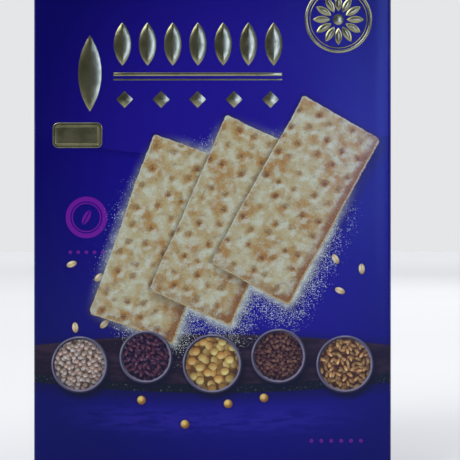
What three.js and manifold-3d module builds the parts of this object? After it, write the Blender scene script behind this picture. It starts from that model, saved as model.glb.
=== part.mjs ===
// A shut folding carton for crackers, standing on its base.
// Millimetres, +Z up. The origin is the middle of the base, and the printed front faces -Y.

import * as THREE from "three";
import { mergeVertices } from "three/addons/utils/BufferGeometryUtils.js";
import Module from "manifold-3d";

const wasm = await Module();
wasm.setup();

// Driving dimensions
const WIDTH = 160; // side to side, at the crown of the side panels
const DEPTH = 60; // front to back, at the crown of the filled front and back
const HEIGHT = 235;
const BOARD = 0.5; // thickness of the boxboard
const FACE_CROWN = 1.0; // how far the contents push the front and back out at their middle
const SIDE_CROWN = 0.5;
const CORNER_RADIUS = 1.4; // upright folds between the panels
const FOLD_RADIUS = 1.1; // folds along the top and bottom
const FLAP_INSET = 1.1; // each end of a closing flap stops short of the side panel
const TUCK_MARGIN = 1.6; // the outer flap stops short of the back edge
const SEAM_GROOVE = 0.7; // side of the square groove beside the glued seam
const SEAM_WIDTH = 3.0; // how far in from the corner the squared end of the back panel runs

// Fineness of the mesh
const FACE_STEPS = 12;
const SIDE_STEPS = 4;
const CORNER_STEPS = 4;
const HEIGHT_STEPS = 16;
const FOLD_STEPS = 4;

// Worked out from the above
const HALF_WIDTH = WIDTH / 2 - SIDE_CROWN; // to a side panel at its folds
const HALF_DEPTH = DEPTH / 2 - FACE_CROWN; // to the front or back at its folds
const SLEEVE_BOTTOM = 2 * BOARD; // two closing flaps lie over the ends of the sleeve
const SLEEVE_TOP = HEIGHT - 2 * BOARD;
const LAP = 0.02; // the closing flaps stand this far out of the sleeve, so no faces coincide

const PANELS = [
  { name: "front", along: [1, 0], out: [0, -1], half: HALF_WIDTH, reach: HALF_DEPTH },
  { name: "right", along: [0, 1], out: [1, 0], half: HALF_DEPTH, reach: HALF_WIDTH },
  { name: "back", along: [-1, 0], out: [0, 1], half: HALF_WIDTH, reach: HALF_DEPTH },
  { name: "left", along: [0, -1], out: [-1, 0], half: HALF_DEPTH, reach: HALF_WIDTH },
];

// The share of its crown that a panel has at a place that runs from -1 to 1 between two folds.
function swell(place) {
  return Math.max(0, 1 - place * place);
}

// One level of the sleeve as [x, y] points, anticlockwise from the front's left fold.
// The inset draws the whole level in, towards the folds at the top and bottom.
function sleeveLevel(z, inset) {
  const middle = (SLEEVE_BOTTOM + SLEEVE_TOP) / 2;
  const upright = swell((z - middle) / (SLEEVE_TOP - FOLD_RADIUS - middle));
  const radius = CORNER_RADIUS - inset;
  const points = [];
  for (const { name, along, out, half, reach } of PANELS) {
    const isFace = name === "front" || name === "back";
    const crown = isFace ? FACE_CROWN : SIDE_CROWN;
    const steps = isFace ? FACE_STEPS : SIDE_STEPS;
    const straight = half - CORNER_RADIUS;
    for (let i = 0; i < steps; i++) {
      const place = -1 + (2 * i) / steps;
      const far = reach - inset + crown * swell(place) * upright;
      points.push([
        along[0] * straight * place + out[0] * far,
        along[1] * straight * place + out[1] * far,
      ]);
    }
    // the fold on to the next panel, whose outward direction is this panel's own run
    const centre = [0, 1].map((k) => along[k] * straight + out[k] * (reach - CORNER_RADIUS));
    for (let i = 0; i < CORNER_STEPS; i++) {
      const turn = (Math.PI / 2) * (i / CORNER_STEPS);
      points.push(
        [0, 1].map((k) => centre[k] + radius * (out[k] * Math.cos(turn) + along[k] * Math.sin(turn))),
      );
    }
  }
  return points;
}

// Heights and insets of the sleeve's levels, from the bottom fold to the top one.
function sleeveHeights() {
  const levels = [];
  for (let i = 0; i <= FOLD_STEPS; i++) {
    const turn = (Math.PI / 2) * (i / FOLD_STEPS);
    levels.push({
      z: SLEEVE_BOTTOM + FOLD_RADIUS * (1 - Math.sin(turn)),
      inset: FOLD_RADIUS * (1 - Math.cos(turn)),
    });
  }
  levels.reverse();
  const low = SLEEVE_BOTTOM + FOLD_RADIUS;
  const high = SLEEVE_TOP - FOLD_RADIUS;
  for (let i = 1; i < HEIGHT_STEPS; i++) {
    levels.push({ z: low + ((high - low) * i) / HEIGHT_STEPS, inset: 0 });
  }
  for (let i = 0; i <= FOLD_STEPS; i++) {
    const turn = (Math.PI / 2) * (i / FOLD_STEPS);
    levels.push({
      z: high + FOLD_RADIUS * Math.sin(turn),
      inset: FOLD_RADIUS * (1 - Math.cos(turn)),
    });
  }
  return levels;
}

// The four panels with their folds, closed at both ends: each level is joined to the next one.
function sleeve() {
  const rings = sleeveHeights().map(({ z, inset }) => sleeveLevel(z, inset).map(([x, y]) => [x, y, z]));
  const count = rings[0].length;
  const positions = rings.flat(2);
  const triangles = [];
  for (let level = 0; level < rings.length - 1; level++) {
    for (let i = 0; i < count; i++) {
      const next = (i + 1) % count;
      const a = level * count + i;
      const b = level * count + next;
      triangles.push(a, b, b + count, a, b + count, a + count);
    }
  }
  const bottomMiddle = positions.length / 3;
  positions.push(0, 0, SLEEVE_BOTTOM, 0, 0, SLEEVE_TOP);
  const top = (rings.length - 1) * count;
  for (let i = 0; i < count; i++) {
    const next = (i + 1) % count;
    triangles.push(bottomMiddle, next, i);
    triangles.push(bottomMiddle + 1, top + i, top + next);
  }
  const geometry = new THREE.BufferGeometry();
  geometry.setAttribute("position", new THREE.Float32BufferAttribute(positions, 3));
  geometry.setIndex(triangles);
  return geometry;
}

// The closing flaps of both ends in one, from their outline seen along X.
// The outer flaps fold over from the front, and the inner ones from the back, a board lower.
function closingFlaps() {
  const front = -HALF_DEPTH - LAP;
  const back = HALF_DEPTH + LAP;
  const freeEdge = HALF_DEPTH - TUCK_MARGIN;
  const quarter = Math.PI / 2;
  const outline = new THREE.Shape();
  outline.moveTo(front + FOLD_RADIUS, 0);
  outline.lineTo(freeEdge, 0);
  outline.lineTo(freeEdge, BOARD);
  outline.lineTo(back - FOLD_RADIUS, BOARD);
  outline.absarc(back - FOLD_RADIUS, BOARD + FOLD_RADIUS, FOLD_RADIUS, -quarter, 0, false);
  outline.lineTo(back, HEIGHT - BOARD - FOLD_RADIUS);
  outline.absarc(back - FOLD_RADIUS, HEIGHT - BOARD - FOLD_RADIUS, FOLD_RADIUS, 0, quarter, false);
  outline.lineTo(freeEdge, HEIGHT - BOARD);
  outline.lineTo(freeEdge, HEIGHT);
  outline.lineTo(front + FOLD_RADIUS, HEIGHT);
  outline.absarc(front + FOLD_RADIUS, HEIGHT - FOLD_RADIUS, FOLD_RADIUS, quarter, 2 * quarter, false);
  outline.lineTo(front, FOLD_RADIUS);
  outline.absarc(front + FOLD_RADIUS, FOLD_RADIUS, FOLD_RADIUS, 2 * quarter, 3 * quarter, false);

  const length = 2 * (HALF_WIDTH - FLAP_INSET);
  const geometry = new THREE.ExtrudeGeometry(outline, {
    depth: length,
    bevelEnabled: false,
    curveSegments: 2 * FOLD_STEPS,
  });
  // the outline's x and y become the carton's Y and Z, and the extrusion runs along X
  const toYZ = new THREE.Matrix4().makeBasis(
    new THREE.Vector3(0, 1, 0),
    new THREE.Vector3(0, 0, 1),
    new THREE.Vector3(1, 0, 0),
  );
  geometry.translate(0, 0, -length / 2);
  geometry.applyMatrix4(toYZ);
  return geometry;
}

// The squared end of the back panel, which is glued over the left side's flap.
function seamEdge() {
  const height = SLEEVE_TOP - SLEEVE_BOTTOM - 2 * FOLD_RADIUS;
  const geometry = new THREE.BoxGeometry(SEAM_WIDTH, SEAM_WIDTH, height);
  geometry.translate(
    -HALF_WIDTH - LAP + SEAM_WIDTH / 2,
    HALF_DEPTH + LAP - SEAM_WIDTH / 2,
    HEIGHT / 2,
  );
  return geometry;
}

// The narrow groove between that end and the rounded fold under it.
function seamGroove() {
  const geometry = new THREE.BoxGeometry(SEAM_GROOVE, SEAM_GROOVE, HEIGHT);
  geometry.rotateZ(Math.PI / 4);
  geometry.translate(-HALF_WIDTH - LAP, HALF_DEPTH - BOARD - SEAM_GROOVE / Math.SQRT2, HEIGHT / 2);
  return geometry;
}

// A closed three.js geometry as a solid for joining and cutting.
function solidOf(geometry) {
  const bare = geometry.clone();
  bare.deleteAttribute("normal");
  bare.deleteAttribute("uv");
  const merged = mergeVertices(bare, 1e-4);
  return new wasm.Manifold(
    new wasm.Mesh({
      numProp: 3,
      vertProperties: new Float32Array(merged.attributes.position.array),
      triVerts: new Uint32Array(merged.index.array),
    }),
  );
}

// A solid back as a three.js geometry.
function geometryOf(solid) {
  const { vertProperties, triVerts } = solid.getMesh();
  const geometry = new THREE.BufferGeometry();
  geometry.setAttribute("position", new THREE.BufferAttribute(new Float32Array(vertProperties), 3));
  geometry.setIndex(new THREE.BufferAttribute(new Uint32Array(triVerts), 1));
  geometry.computeVertexNormals();
  return geometry;
}

// The whole carton as one solid: it is shut, so nothing inside it is modelled.
function carton() {
  const solid = solidOf(sleeve())
    .add(solidOf(closingFlaps()))
    .add(solidOf(seamEdge()))
    .subtract(solidOf(seamGroove()));
  const board = new THREE.MeshStandardMaterial({
    color: 0x1e1a7d, // deep violet-blue ink under varnish
    roughness: 0.35,
    metalness: 0,
  });
  const mesh = new THREE.Mesh(geometryOf(solid), board);
  mesh.name = "carton";
  return mesh;
}

const crackerCarton = new THREE.Group();
crackerCarton.add(carton());

export default crackerCarton;
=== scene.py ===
"""Dresses a shut cracker carton: folded board panels, closing flaps, gold foil stamping and print.

Sizes and places in the makers' classes are millimetres in the carton's own frame, with X to the right
as the printed front is seen, -Y towards the front and Z up. Meshes are written in metres.
"""

import logging
import math
import random
from abc import ABC, abstractmethod
from dataclasses import dataclass
from enum import Enum
from typing import Callable, NamedTuple, Sequence, Union

import bmesh
import bpy
from mathutils import Matrix, Vector


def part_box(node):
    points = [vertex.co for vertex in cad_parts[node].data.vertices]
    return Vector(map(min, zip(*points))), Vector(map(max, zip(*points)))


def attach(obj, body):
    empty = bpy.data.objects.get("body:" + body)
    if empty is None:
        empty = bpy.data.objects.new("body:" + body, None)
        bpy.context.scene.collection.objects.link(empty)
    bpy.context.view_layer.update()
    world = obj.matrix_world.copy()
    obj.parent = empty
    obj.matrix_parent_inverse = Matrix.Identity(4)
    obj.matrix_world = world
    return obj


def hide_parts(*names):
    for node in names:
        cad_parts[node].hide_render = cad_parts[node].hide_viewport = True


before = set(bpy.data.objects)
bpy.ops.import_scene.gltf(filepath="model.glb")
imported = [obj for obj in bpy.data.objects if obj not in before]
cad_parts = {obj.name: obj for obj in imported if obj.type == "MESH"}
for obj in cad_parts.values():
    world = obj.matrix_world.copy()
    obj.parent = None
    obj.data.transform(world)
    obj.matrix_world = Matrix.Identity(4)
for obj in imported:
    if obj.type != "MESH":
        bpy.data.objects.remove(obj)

MM = 0.001
NEAR = 0.01  # in millimetres: what lies this close to a place is picked there
NODE = "carton"
BODY = "root"

log = logging.getLogger("carton")

Pair = tuple[float, float]
Point = tuple[float, float, float]
Tint = tuple[float, float, float]
Finishes = tuple[bpy.types.Material, bpy.types.Material]  # a printed face's, and the bare board's

UPRIGHT: Point = (90, 0, 0)  # turns what lies flat so that it faces the front


def metres(values: Sequence[float]) -> list[float]:
    """Millimetres as metres."""
    return [value * MM for value in values]


def tint(red: float, green: float, blue: float) -> Tint:
    """A colour as seen on screen, 0 to 255 a channel, as the linear values that shaders take."""
    shares = (red / 255, green / 255, blue / 255)
    return tuple(s / 12.92 if s <= 0.04045 else ((s + 0.055) / 1.055) ** 2.4 for s in shares)


class Side(Enum):
    """The six outer sides, with the turn about Z that brings a front panel round to each upright one."""

    FRONT = 0
    RIGHT = 90
    BACK = 180
    LEFT = 270
    TOP = -1
    BOTTOM = -2


@dataclass(frozen=True)
class CartonSize:
    """The carton's sizes: the outer ones from its CAD solid, the board's from boxboard practice."""

    width: float
    depth: float
    height: float
    board: float = 0.5  # one step between the closing flaps
    caliper: float = 0.46  # the sheet's own thickness, a little less so that layers keep a gap
    corner_radius: float = 1.4
    fold_radius: float = 1.1
    face_crown: float = 1.0
    side_crown: float = 0.5
    tuck_margin: float = 1.6

    @classmethod
    def of_node(cls, node: str) -> "CartonSize":
        """Reads the outer sizes from a CAD node."""
        low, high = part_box(node)
        return cls(*((high[i] - low[i]) / MM for i in range(3)))

    @property
    def half_width(self) -> float:
        """From the middle to a side panel at its folds."""
        return self.width / 2 - self.side_crown

    @property
    def half_depth(self) -> float:
        """From the middle to the front or back at its folds."""
        return self.depth / 2 - self.face_crown

    @property
    def half_flat(self) -> float:
        """From the middle to where the front's upright folds start."""
        return self.half_width - self.corner_radius

    @property
    def sleeve_low(self) -> float:
        """Height at which the panels' straight walls start."""
        return 2 * self.board + self.fold_radius

    @property
    def sleeve_high(self) -> float:
        """Height at which the panels' straight walls end."""
        return self.height - self.sleeve_low


class Pick(Enum):
    """What an edit-mode pick takes hold of."""

    CORNERS = "VERT"
    EDGES = "EDGE"
    FACES = "FACE"


def clear_bench() -> None:
    """Leaves edit mode and deselects everything, the CAD node included."""
    if bpy.context.mode != "OBJECT":
        bpy.ops.object.mode_set(mode="OBJECT")
    bpy.ops.object.select_all(action="DESELECT")


class Workpiece:
    """One mesh on the bench: shaped in edit mode by operators, then finished by modifiers."""

    def __init__(self, thing: bpy.types.Object, name: str) -> None:
        """Takes over an object under a name."""
        self.thing = thing
        thing.name = thing.data.name = name

    @classmethod
    def start(cls, name: str, add: Callable[..., object], centre: Point, span: Pair,
              turn: Point = (0, 0, 0), **options: object) -> "Workpiece":
        """Adds a primitive of one unit and stretches it to its size.

        Args:
            name: The piece's name.
            add: The operator that adds the primitive.
            centre: Its middle.
            span: Its size along its own X and Y.
            turn: Its turn about X, Y and Z in degrees, from lying flat.
            options: The operator's other options.

        Returns:
            The new workpiece.
        """
        clear_bench()
        add(location=metres(centre), rotation=[math.radians(t) for t in turn], **options)
        work = cls(bpy.context.active_object, name)
        work.thing.scale = (*metres(span), 1)
        bpy.ops.object.transform_apply(location=True, rotation=True, scale=True)
        return work

    @classmethod
    def sheet(cls, name: str, centre: Point, span: Pair, cells: tuple[int, int],
              turn: Point = UPRIGHT) -> "Workpiece":
        """Adds a flat grid of faces, upright unless it is turned another way."""
        return cls.start(name, bpy.ops.mesh.primitive_grid_add, centre, span, turn, size=1.0,
                         x_subdivisions=cells[0], y_subdivisions=cells[1])

    @classmethod
    def disc(cls, name: str, centre: Point, radius: float, sides: int) -> "Workpiece":
        """Adds one upright face with equal sides."""
        return cls.start(name, bpy.ops.mesh.primitive_circle_add, centre, (radius, radius), UPRIGHT,
                         radius=1.0, vertices=sides, fill_type="NGON")

    @classmethod
    def lens(cls, name: str, centre: Point, half: Pair, steps: int) -> "Workpiece":
        """Adds one upright pointed oval, from two arcs spun from tip to tip.

        Args:
            name: The piece's name.
            centre: Its middle.
            half: Its half width and half height.
            steps: How many edges each arc has.

        Returns:
            The new workpiece.
        """
        work = cls.start(name, bpy.ops.mesh.primitive_plane_add, centre, (1, 1), UPRIGHT, size=1.0)
        work.pick(Pick.CORNERS)
        bpy.ops.mesh.merge(type="CENTER")
        half_width, half_height = half
        work.shift((0, 0, -half_height))
        radius = (half_width**2 + half_height**2) / (2 * half_width)
        degrees = 2 * math.degrees(math.asin(half_height / radius))
        for way in (1, -1):
            hinge = (centre[0] + way * (half_width - radius), *centre[1:])
            work.fold(hinge, (0, -1, 0), degrees, steps)
        work.weld()
        bpy.ops.mesh.edge_face_add()
        return work

    def hold(self) -> None:
        """Makes the piece the active one and the only one selected."""
        clear_bench()
        self.thing.select_set(True)
        bpy.context.view_layer.objects.active = self.thing

    def pick(self, kind: Pick, test: Callable[[Vector], bool] = lambda p: True) -> None:
        """Selects what passes a test, and nothing else, in edit mode.

        Args:
            kind: Corners, edges or faces.
            test: Takes an element's middle in millimetres, and says whether it is picked.
        """
        if bpy.context.mode != "EDIT_MESH" or bpy.context.edit_object != self.thing:
            self.hold()
            bpy.ops.object.mode_set(mode="EDIT")
        bpy.ops.mesh.select_mode(type=kind.value)
        bpy.ops.mesh.select_all(action="DESELECT")
        shape = bmesh.from_edit_mesh(self.thing.data)
        for element in {Pick.CORNERS: shape.verts, Pick.EDGES: shape.edges, Pick.FACES: shape.faces}[kind]:
            corners = [element] if kind is Pick.CORNERS else element.verts
            middle = sum((corner.co for corner in corners), Vector()) / len(corners)
            if test(middle / MM):
                element.select_set(True)
        shape.select_flush_mode()
        bmesh.update_edit_mesh(self.thing.data)

    def push(self, by: Point) -> None:
        """Extrudes what is picked, along X, Y and Z."""
        bpy.ops.mesh.extrude_region_move(TRANSFORM_OT_translate={"value": metres(by)})

    def shift(self, by: Point, reach: float = 0) -> None:
        """Moves what is picked along X, Y and Z, and softly with it what lies within a reach."""
        soft = {"use_proportional_edit": True, "proportional_size": reach * MM} if reach else {}
        bpy.ops.transform.translate(value=metres(by), proportional_edit_falloff="SMOOTH", **soft)

    def fold(self, hinge: Point, axis: Point, degrees: float, steps: int) -> None:
        """Spins the picked edges about a hinge by the right-hand rule, as a crease bends a board."""
        bpy.ops.mesh.spin(steps=steps, dupli=False, angle=-math.radians(degrees), use_auto_merge=False,
                          center=metres(hinge), axis=axis)

    def inset(self, width: float, rise: float) -> None:
        """Leaves a rim of some width round the picked faces, and moves the faces inside it out."""
        bpy.ops.mesh.inset(thickness=width * MM, depth=rise * MM, use_even_offset=True)

    def narrow(self, middle: Point, factors: Pair) -> None:
        """Scales what is picked along X and Z, about a middle."""
        bpy.ops.transform.resize(value=(factors[0], 1, factors[1]), center_override=metres(middle))

    def weld(self) -> None:
        """Merges corners that meet, and leaves everything picked."""
        bpy.ops.mesh.select_all(action="SELECT")
        bpy.ops.mesh.remove_doubles(threshold=NEAR * MM)

    def modify(self, kind: str, **settings: object) -> None:
        """Adds a modifier and applies it.

        Args:
            kind: The modifier's type.
            settings: Its properties.
        """
        self.hold()
        modifier = self.thing.modifiers.new(kind.title(), kind)
        for name, value in settings.items():
            setattr(modifier, name, value)
        bpy.ops.object.modifier_apply(modifier=modifier.name)

    def turn(self, degrees: float) -> None:
        """Turns the whole piece about the carton's upright axis, anticlockwise from above."""
        clear_bench()
        self.thing.data.transform(Matrix.Rotation(math.radians(degrees), 4, "Z"))

    def face_front(self) -> None:
        """Makes the normals agree, with most of them pointing to the front."""
        self.pick(Pick.FACES)
        bpy.ops.mesh.normals_make_consistent(inside=False)
        faces = bmesh.from_edit_mesh(self.thing.data).faces
        if sum(face.normal.y * face.calc_area() for face in faces) > 0:
            bpy.ops.mesh.flip_normals()
        clear_bench()

    def copies(self, moves: Sequence[Matrix]) -> list["Workpiece"]:
        """Copies the piece, each copy with its own mesh.

        Args:
            moves: How each copy is moved.

        Returns:
            The piece and its copies.
        """
        clear_bench()
        made = [self]
        for move in moves:
            copy = self.thing.copy()
            copy.data = self.thing.data.copy()
            copy.data.transform(move)
            bpy.context.scene.collection.objects.link(copy)
            made.append(Workpiece(copy, self.thing.name))
        return made

    def dress(self, *finishes: bpy.types.Material) -> None:
        """Gives the piece its finishes.

        Args:
            finishes: The finishes, in the order of its slots.
        """
        clear_bench()
        self.thing.data.materials.clear()
        for finish in finishes:
            self.thing.data.materials.append(finish)

    def make_board(self, finishes: Finishes, thickness: float) -> None:
        """Prints a sheet's face, and gives it its thickness behind, bare there and at its cut edges.

        Args:
            finishes: The printed face's finish and the bare board's.
            thickness: The sheet's thickness.
        """
        self.dress(*finishes)
        self.modify("SOLIDIFY", thickness=thickness * MM, offset=-1, use_even_offset=True, use_rim=True,
                    material_offset=1, material_offset_rim=1)

    def finish(self, smooth: float = 30) -> None:
        """Smooths the piece and enters it in the table of pieces.

        Args:
            smooth: Edges that turn by less than this many degrees are smooth.
        """
        self.hold()
        bpy.ops.object.shade_smooth_by_angle(angle=math.radians(smooth))
        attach(self.thing, BODY)
        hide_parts(NODE)
        log.info("%s: %d faces", self.thing.name, len(self.thing.data.polygons))


class Swelling:
    """The push of the contents: a lattice round the carton that crowns its panels a little unevenly."""

    COUNTS = (7, 3, 9)  # its points along X, Y and Z
    UNEVEN = 0.09  # at most, in millimetres
    STIFF = (0.9, 1.1)  # the share of its crown that a place on a panel takes
    OUTER = 0.99  # of the way from its middle to its faces

    def __init__(self, size: CartonSize, seed: int) -> None:
        """Makes the lattice.

        Args:
            size: The carton's sizes.
            seed: Seeds the unevenness.
        """
        draw = random.Random(seed)
        cage = bpy.data.lattices.new("swelling")
        cage.points_u, cage.points_v, cage.points_w = self.COUNTS
        for direction in "uvw":
            setattr(cage, f"interpolation_type_{direction}", "KEY_CARDINAL")
        self.cage = bpy.data.objects.new("swelling", cage)
        bpy.context.scene.collection.objects.link(self.cage)
        self.cage.location.z = size.height / 2 * MM
        spans = (2 * size.half_width, 2 * size.half_depth, size.height)
        pitch = [span / (count - 1) for span, count in zip(spans, self.COUNTS)]
        self.cage.scale = metres(pitch)
        for point in cage.points:
            across, deep, up = (2 * co / (count - 1) for co, count in zip(point.co, self.COUNTS))
            on_face = abs(deep) > self.OUTER
            if abs(up) > self.OUTER or (abs(across) > self.OUTER) == on_face:
                continue  # the ends and the upright folds stay put, and the inside doesn't matter
            stiff = (1 - up * up) * draw.uniform(*self.STIFF)
            if on_face:
                push = size.face_crown * stiff * (1 - across * across) + draw.uniform(-1, 1) * self.UNEVEN
                point.co_deform.y += math.copysign(push / pitch[1], deep)
            else:
                push = size.side_crown * stiff + draw.uniform(-1, 1) * self.UNEVEN
                point.co_deform.x += math.copysign(push / pitch[0], across)

    def press(self, work: Workpiece) -> None:
        """Bends a workpiece with the panels."""
        work.modify("LATTICE", object=self.cage)

    def put_away(self) -> None:
        """Removes the lattice once every piece has been bent."""
        bpy.data.objects.remove(self.cage)


class Wall(NamedTuple):
    """The flat part of a panel."""

    half: float  # half its width between its folds
    reach: float  # how far it stands from the carton's axis
    columns: int  # how many faces lie across it


@dataclass
class Sleeve:
    """The four upright panels, folded from one blank and glued along the back's left edge."""

    size: CartonSize
    swelling: Swelling
    finishes: dict[Side, Finishes]
    face_columns: int = 26
    side_columns: int = 10
    rows: int = 38
    fold_steps: int = 6
    dust_flap: float = 26
    glue_flap: float = 11

    @property
    def broad(self) -> Wall:
        """The flat part of the front and of the back."""
        return Wall(self.size.half_flat, self.size.half_depth, self.face_columns)

    @property
    def slim(self) -> Wall:
        """The flat part of each side panel."""
        return Wall(self.size.half_depth - self.size.corner_radius, self.size.half_width, self.side_columns)

    def _panel(self, name: str, wall: Wall) -> Workpiece:
        """Adds one panel's flat part, facing the front.

        Args:
            name: The piece's name.
            wall: The panel's flat part.

        Returns:
            The panel.
        """
        low, high = self.size.sleeve_low, self.size.sleeve_high
        return Workpiece.sheet(name, (0, -wall.reach, (low + high) / 2), (2 * wall.half, high - low),
                               (wall.columns, self.rows))

    def _pick_upright(self, work: Workpiece, place: float) -> None:
        """Picks the upright edge of a panel at a place along X."""
        low, high = self.size.sleeve_low - NEAR, self.size.sleeve_high + NEAR
        work.pick(Pick.EDGES, lambda p: abs(p.x - place) < NEAR and low < p.z < high)

    def _upright_fold(self, work: Workpiece, wall: Wall, way: int, inside: float = 0) -> None:
        """Folds one upright edge round towards the next panel.

        Args:
            work: The panel.
            wall: Its flat part.
            way: 1 for its right edge, and -1 for its left one.
            inside: How far the fold lies inside the carton's corner.
        """
        radius = self.size.corner_radius - inside
        self._pick_upright(work, way * wall.half)
        work.fold((way * wall.half, -wall.reach + radius, 0), (0, 0, 1), way * 90, self.fold_steps)

    def _closing_folds(self, work: Workpiece, wall: Wall, boards: float) -> None:
        """Folds the top and bottom edges over the carton's ends.

        Args:
            work: The panel.
            wall: Its flat part.
            boards: How many thicknesses of board its flap lies above the side panels' flaps.
        """
        size = self.size
        rise = boards * size.board
        for way, edge in ((1, size.sleeve_high), (-1, size.sleeve_low)):
            work.pick(Pick.EDGES, lambda p: abs(p.z - edge) < NEAR and abs(p.x) < wall.half)
            if rise:
                work.push((0, 0, way * rise))
            work.fold((0, -wall.reach + size.fold_radius, edge + way * rise), (1, 0, 0), -way * 90,
                      self.fold_steps)

    def _complete(self, work: Workpiece, side: Side) -> None:
        """Turns a panel to its side, gives it the board's thickness and bends it.

        Args:
            work: The panel.
            side: The side that it goes to.
        """
        work.face_front()
        work.turn(side.value)
        work.make_board(self.finishes[side], self.size.caliper)
        self.swelling.press(work)
        work.finish()

    def front(self) -> None:
        """Makes the printed front, with both of its upright folds."""
        work = self._panel("front_panel", self.broad)
        for way in (1, -1):
            self._upright_fold(work, self.broad, way)
        self._closing_folds(work, self.broad, boards=2)
        self._complete(work, Side.FRONT)

    def back(self) -> None:
        """Makes the back: one upright fold, and a cut end that lies over the glue flap."""
        work = self._panel("back_panel", self.broad)
        # turned to the back, its own left is the carton's right
        self._upright_fold(work, self.broad, -1)
        self._closing_folds(work, self.broad, boards=1)
        self._pick_upright(work, self.broad.half)
        work.push((self.size.corner_radius, 0, 0))
        self._complete(work, Side.BACK)

    def side(self, side: Side) -> None:
        """Makes a side panel with its dust flaps, and on the left the glue flap as well.

        Args:
            side: Left or right.
        """
        size, wall = self.size, self.slim
        work = self._panel(f"{side.name.lower()}_side_panel", wall)
        self._closing_folds(work, wall, boards=0)
        inside = -wall.reach + size.fold_radius
        for end in (size.height - 2 * size.board, 2 * size.board):
            work.pick(Pick.EDGES, lambda p: abs(p.z - end) < NEAR and abs(p.y - inside) < NEAR)
            work.push((0, self.dust_flap, 0))
        if side is Side.LEFT:
            # turned to the left, its own left is towards the back, where the glue flap folds in
            self._upright_fold(work, wall, -1, inside=size.board)
            work.push((0, self.glue_flap, 0))
        self._complete(work, side)


@dataclass
class Closure:
    """One glued end of the carton: an outer flap from the front over an inner one from the back."""

    size: CartonSize
    side: Side
    finishes: Finishes
    lift: float = 0.0  # how far the glue lets the outer flap's free edge rise
    cells: tuple[int, int] = (28, 12)
    inner_reach: float = 34
    clipped: float = 1.6  # how much of the outer flap's free corners is cut off
    lifts: tuple[Pair, ...] = ((-38.0, 1.0), (14.0, 0.55), (61.0, 0.8))  # places along X, and shares
    lift_half: float = 6  # half the width of the edge that is lifted at each place
    lift_reach: float = 24  # how far round it the flap rises with it

    def _flap(self, name: str, hinge: float, free: float, boards: float) -> Workpiece:
        """Adds a flat flap.

        Args:
            name: The end of its name.
            hinge: Where it starts, along Y.
            free: Where it ends, along Y.
            boards: How many boards lie over it.

        Returns:
            The flap, facing out of the carton.
        """
        at_top = self.side is Side.TOP
        inside = boards * self.size.board
        level = self.size.height - inside if at_top else inside
        return Workpiece.sheet(
            f"{self.side.name.lower()}_{name}", (0, (hinge + free) / 2, level),
            (2 * self.size.half_flat, abs(free - hinge)), self.cells, turn=(0 if at_top else 180, 0, 0))

    def outer(self) -> None:
        """Makes the outer flap: its free corners are clipped, and glue doesn't hold its edge flat."""
        size = self.size
        free = size.half_depth - size.tuck_margin
        work = self._flap("outer_flap", -size.half_depth + size.fold_radius, free, boards=0)
        work.pick(Pick.CORNERS, lambda p: abs(p.y - free) < NEAR and abs(abs(p.x) - size.half_flat) < NEAR)
        bpy.ops.mesh.bevel(offset=self.clipped * MM, segments=1, affect="VERTICES")
        for middle, share in self.lifts if self.lift else ():
            work.pick(Pick.CORNERS,
                      lambda p: abs(p.y - free) < NEAR and abs(p.x - middle) < self.lift_half)
            work.shift((0, 0, self.lift * share), reach=self.lift_reach)
        work.make_board(self.finishes, size.caliper)
        work.finish()

    def inner(self) -> None:
        """Makes the inner flap, of which a narrow strip shows beside the outer flap's free edge."""
        hinge = self.size.half_depth - self.size.fold_radius
        work = self._flap("inner_flap", hinge, hinge - self.inner_reach, boards=1)
        work.make_board(self.finishes, self.size.caliper)
        work.finish()


Number = Union["Amount", float]
Ink = Union["Coat", bpy.types.NodeSocket, Tint]
Feed = Union[Number, Ink, "Spot"]
Fed = dict[Union[str, int], Feed]  # what a node's inputs get, by their names or numbers


class Tree:
    """A tree of shader nodes in the making."""

    def __init__(self, tree: bpy.types.NodeTree) -> None:
        """Empties a tree to start from."""
        self.tree = tree
        tree.nodes.clear()

    def add(self, kind: str, fed: Fed, **settings: object) -> bpy.types.Node:
        """Adds a node.

        Args:
            kind: The node's type, without its first word.
            fed: What its inputs get, by their names or numbers.
            settings: Its properties.

        Returns:
            The node.
        """
        row, column = divmod(len(self.tree.nodes), 12)
        node = self.tree.nodes.new(f"ShaderNode{kind}")
        node.location = (200 * column, -160 * row)
        for name, value in settings.items():
            setattr(node, name, value)
        for place, value in fed.items():
            self.join(value, node.inputs[place])
        return node

    def join(self, value: Feed, socket: bpy.types.NodeSocket) -> None:
        """Feeds a number, a place, a colour or another node's output to an input.

        Args:
            value: What is fed.
            socket: The input.
        """
        value = getattr(value, "source", value)
        if isinstance(value, bpy.types.NodeSocket):
            self.tree.links.new(value, socket)
        elif isinstance(value, tuple) and len(socket.default_value) == 4:
            socket.default_value = (*value, 1)
        else:
            socket.default_value = value

    def amount(self, kind: str, fed: Fed, **settings: object) -> "Amount":
        """Adds a node, and takes its first output as a number."""
        return Amount(self, self.add(kind, fed, **settings).outputs[0])

    def math(self, operation: str, first: Number, second: Number = 0.0) -> "Amount":
        """The result of an operation on one or two numbers."""
        return self.amount("Math", {0: first, 1: second}, operation=operation)

    def blend(self, first: Number, second: Number, share: Number) -> "Amount":
        """A number that runs from the first to the second as the share runs from 0 to 1."""
        return self.amount("Mix", {0: share, 2: first, 3: second}, data_type="FLOAT")

    def mix(self, below: Ink, over: Ink, share: Number) -> bpy.types.NodeSocket:
        """A colour with another over it, which covers it where the share is 1."""
        return self.add("Mix", {0: share, 6: below, 7: over}, data_type="RGBA").outputs[2]

    def parts(self, colour: bpy.types.NodeSocket) -> list["Amount"]:
        """A colour's three channels as numbers."""
        return [Amount(self, part) for part in self.add("SeparateColor", {0: colour}).outputs]

    def spot(self, across: Number, up: Number) -> "Spot":
        """A place in the plane from two numbers."""
        return Spot(self, self.add("CombineXYZ", {0: across, 1: up}).outputs[0])


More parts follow.
